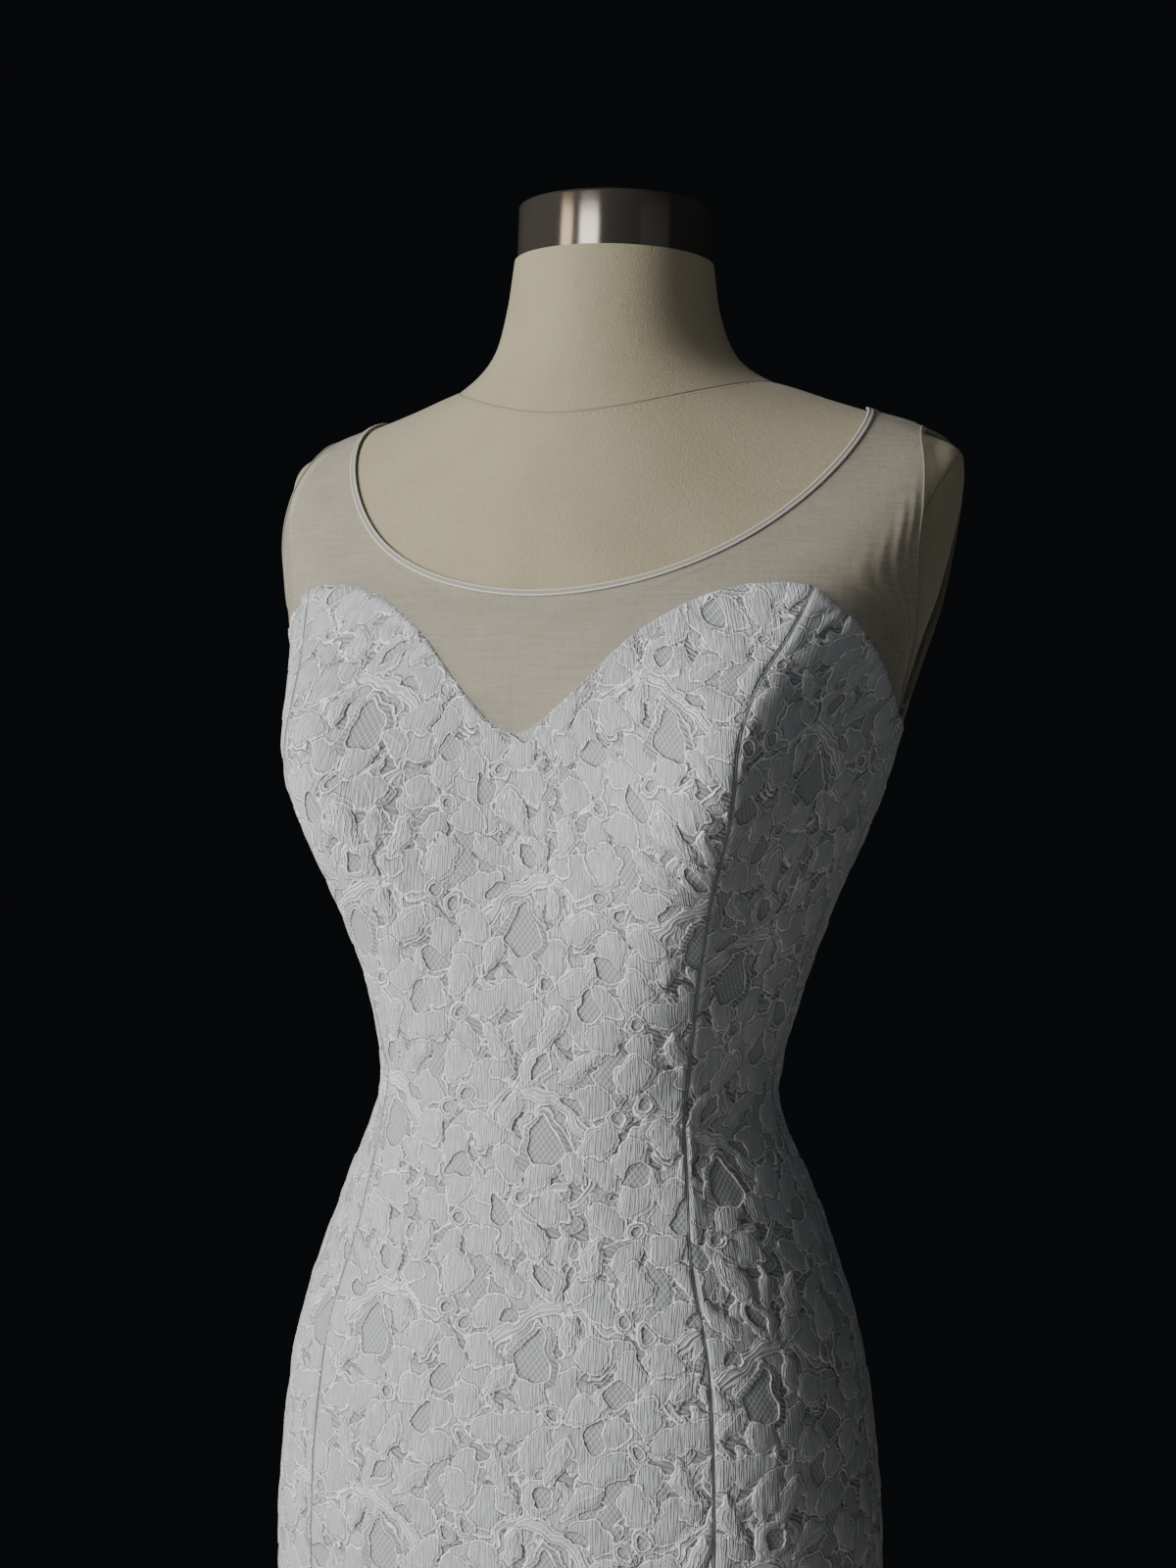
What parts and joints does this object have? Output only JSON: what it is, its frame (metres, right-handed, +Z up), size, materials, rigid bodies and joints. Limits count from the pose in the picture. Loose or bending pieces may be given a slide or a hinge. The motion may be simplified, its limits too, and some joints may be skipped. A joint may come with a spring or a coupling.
{
  "type": "lace wedding gown on a limbless dress form",
  "caption": "Fitted floor-length lace gown with a sheer mesh yoke and a flared skirt, standing on a limbless dress form with a polished neck cap.",
  "frame": {"origin": "centre of the underside of the form's round base, on the floor", "axes": "+Z up, -Y the front of the gown, +X the wearer's left"},
  "size_m": [0.6637, 0.6755, 1.5198],
  "materials": {
    "lace": "corded floral lace over satin",
    "mesh": "sheer fine tulle",
    "satin_trim": "satin bias strip",
    "zip_metal": "white enamel",
    "form_linen": "plain woven linen cover",
    "cap_chrome": "polished",
    "stand_steel": "satin black enamel"
  },
  "bodies": {
    "gown_on_form": {"centre_front": "lace", "side_front_left": "lace", "side_front_right": "lace", "side_back_left": "lace", "side_back_right": "lace", "centre_back_left": "lace", "centre_back_right": "lace", "front_yoke": "mesh", "back_yoke_left": "mesh", "back_yoke_right": "mesh", "neckline_binding": "satin_trim", "armhole_binding_left": "satin_trim", "armhole_binding_right": "satin_trim", "zip_slider": "zip_metal", "form_torso": "form_linen", "neck_cap": "cap_chrome", "form_socket": "stand_steel", "stand_pole": "stand_steel", "stand_base": "stand_steel"},
    "pull_tab": {"zip_pull": "zip_metal"}
  },
  "joints": [
    {"name": "zip_pull_hinge", "type": "hinge", "parent": "gown_on_form", "child": "pull_tab", "pos_m": [0, 0.1108, 1.319], "axis": [1, 0, 0], "range_deg": [0, 150]}
  ]
}
